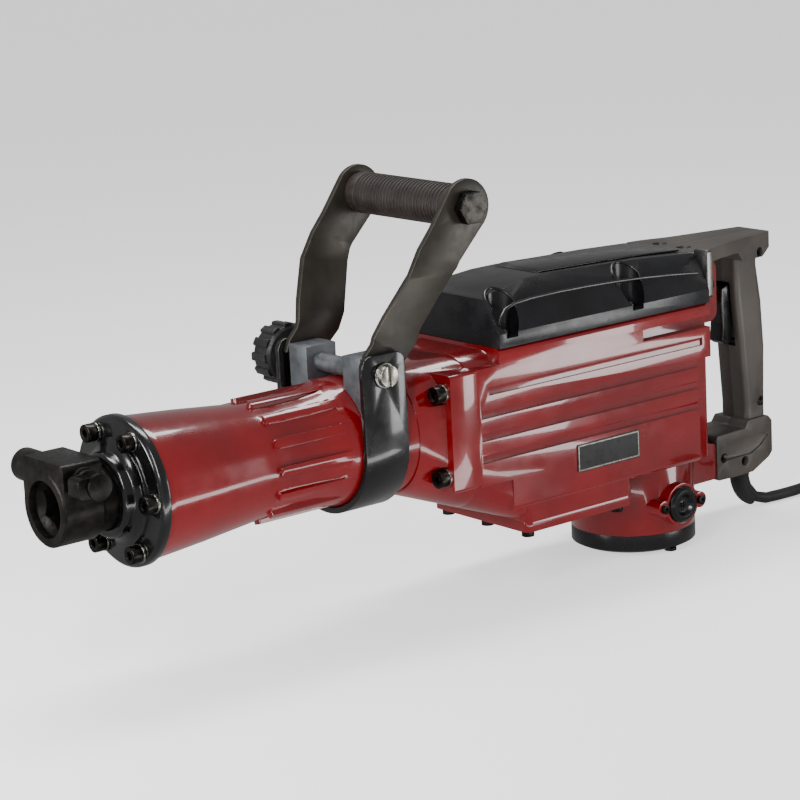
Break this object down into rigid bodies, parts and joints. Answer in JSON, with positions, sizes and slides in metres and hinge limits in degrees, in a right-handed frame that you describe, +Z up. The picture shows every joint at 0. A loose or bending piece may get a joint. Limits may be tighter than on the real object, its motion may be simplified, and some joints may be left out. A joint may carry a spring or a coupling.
{
  "type": "electric jackhammer",
  "caption": "Electric demolition hammer with a cast motor and crank case, hexagon tool socket with a turning lock, clamped bail handle in front, D-shaped trigger handle behind and a mains lead.",
  "frame": {"origin": "middle of the tool's footprint on the ground, below the tool axis", "axes": "+X along the tool axis from the chisel end to the rear handle, +Y to the side with the clamping knob, +Z up"},
  "size_m": [0.9282, 0.2235, 0.336],
  "materials": {
    "red_enamel": "glossy red enamel on die-cast aluminium",
    "gloss_black_paint": "gloss black enamel",
    "band_black_paint": "gloss black enamel on strip steel",
    "worn_dark_steel": "blackened forged steel, worn bright on the edges",
    "black_oxide_screws": "black oxide socket screws",
    "zinc_washers": "bright zinc plate",
    "bail_steel": "satin dark bronze paint on steel plate",
    "dark_bolt_steel": "black oxide hexagon bolt and nut",
    "grip_rubber": "finely ribbed dark rubber",
    "knob_plastic": "satin black moulding",
    "cast_saddle": "matte die casting",
    "cover_plastic": "satin black moulding",
    "panel_plastic": "smooth black moulding",
    "handle_plastic": "fine-grained dark grey moulding",
    "bracket_steel": "plated sheet steel",
    "trigger_plastic": "smooth black moulding",
    "switch_plastic": "black moulding",
    "tail_plastic": "satin black moulding",
    "brush_cap_plastic": "black screw cap",
    "label_plate": "blank black plate with a thin bright border",
    "carbon": "pressed carbon",
    "machined_steel": "ground steel",
    "bearing_steel": "polished bearing steel",
    "lamination_steel": "stacked sheets",
    "copper": "turned copper segments",
    "fan_plastic": "moulded fan",
    "buffer_rubber": "moulded rubber",
    "lead_rubber": "matte rubber sheath",
    "tie_fabric": "woven hook and loop strap",
    "plug_rubber": "moulded rubber plug"
  },
  "bodies": {
    "tool_body": {"barrel": "red_enamel", "barrel_bolts": "black_oxide_screws", "brush_caps": "brush_cap_plastic", "brushes": "carbon", "buffer_ring": "buffer_rubber", "coil_tie": "tie_fabric", "cord_guard": "lead_rubber", "cover_panel": "panel_plastic", "cover_screws": "black_oxide_screws", "crank_bearing": "bearing_steel", "crankcase": "red_enamel", "front_cover": "gloss_black_paint", "front_cover_bolts": "black_oxide_screws", "hammer_cylinder": "machined_steel", "handle_left": "handle_plastic", "handle_right": "handle_plastic", "handle_screws": "black_oxide_screws", "handle_tabs": "bracket_steel", "layshaft_bearings": "bearing_steel", "lead": "lead_rubber", "lead_coil": "lead_rubber", "motor_bearings": "bearing_steel", "motor_housing": "red_enamel", "motor_screws": "black_oxide_screws", "nameplate": "label_plate", "plug": "plug_rubber", "stator": "lamination_steel", "sump_cover": "red_enamel", "sump_screws": "black_oxide_screws", "switch": "switch_plastic", "tail_cover": "tail_plastic", "tool_holder": "worn_dark_steel", "top_cover": "cover_plastic", "washers": "zinc_washers"},
    "tool_lock": {"tool_lock": "worn_dark_steel", "tool_lock_knob": "worn_dark_steel"},
    "impact_bolt": {"impact_bolt": "machined_steel"},
    "striker": {"striker": "machined_steel"},
    "piston": {"piston": "machined_steel", "piston_pin": "machined_steel"},
    "connecting_rod": {"connecting_rod": "machined_steel", "crank_pin": "machined_steel"},
    "crank": {"crankshaft": "machined_steel", "crank_gear": "machined_steel"},
    "layshaft": {"layshaft": "machined_steel", "layshaft_gear": "machined_steel"},
    "armature": {"armature_shaft": "machined_steel", "armature_core": "lamination_steel", "commutator": "copper", "fan": "fan_plastic", "motor_pinion": "machined_steel"},
    "bail": {"clamp_band": "band_black_paint", "clamp_saddle": "cast_saddle", "clamp_bolt": "zinc_washers", "bail_arm_left": "bail_steel", "bail_arm_right": "bail_steel", "bail_grip": "grip_rubber", "bail_bolt": "dark_bolt_steel"},
    "clamp_knob": {"clamp_knob": "knob_plastic"},
    "trigger": {"trigger": "trigger_plastic"}
  },
  "joints": [
    {"name": "bail_swing", "type": "hinge", "parent": "tool_body", "child": "bail", "pos_m": [-0.0905, -0.0025, 0.144], "axis": [1, 0, 0], "range_deg": [-180, 180]},
    {"name": "clamp_knob_turn", "type": "hinge", "parent": "bail", "child": "clamp_knob", "pos_m": [-0.0905, 0.0635, 0.2], "axis": [0, 1, 0], "range_deg": [0, 540]},
    {"name": "tool_lock_turn", "type": "hinge", "parent": "tool_body", "child": "tool_lock", "pos_m": [-0.3365, -0.0025, 0.1655], "axis": [0, 1, 0], "range_deg": [0, 180]},
    {"name": "trigger_pull", "type": "hinge", "parent": "tool_body", "child": "trigger", "pos_m": [0.3195, -0.0025, 0.192], "axis": [0, -1, 0], "range_deg": [0, 10], "stiffness_Nm_per_rad": 1.5, "springref_deg": -4.58},
    {"name": "armature_spin", "type": "hinge", "parent": "tool_body", "child": "armature", "pos_m": [0.2025, -0.0025, 0.144], "axis": [0, 0, 1], "continuous": true},
    {"name": "layshaft_spin", "type": "hinge", "parent": "tool_body", "child": "layshaft", "pos_m": [0.1515, -0.0025, 0.174], "axis": [0, 0, 1], "continuous": true},
    {"name": "crank_spin", "type": "hinge", "parent": "tool_body", "child": "crank", "pos_m": [0.0915, -0.0025, 0.174], "axis": [0, 0, 1], "continuous": true},
    {"name": "piston_slide", "type": "slide", "parent": "tool_body", "child": "piston", "axis": [1, 0, 0], "range_m": [0, 0.052]},
    {"name": "rod_swing", "type": "hinge", "parent": "piston", "child": "connecting_rod", "pos_m": [-0.0525, -0.0025, 0.144], "axis": [0, 0, 1], "range_deg": [-12.7, 12.7]},
    {"name": "striker_slide", "type": "slide", "parent": "tool_body", "child": "striker", "axis": [1, 0, 0], "range_m": [0, 0.03]},
    {"name": "impact_bolt_slide", "type": "slide", "parent": "tool_body", "child": "impact_bolt", "axis": [-1, 0, 0], "range_m": [0, 0.008]}
  ],
  "couplings": [
    {"joint": "layshaft_spin", "follows": "armature_spin", "ratio": -0.21429},
    {"joint": "crank_spin", "follows": "armature_spin", "ratio": 0.091837}
  ]
}
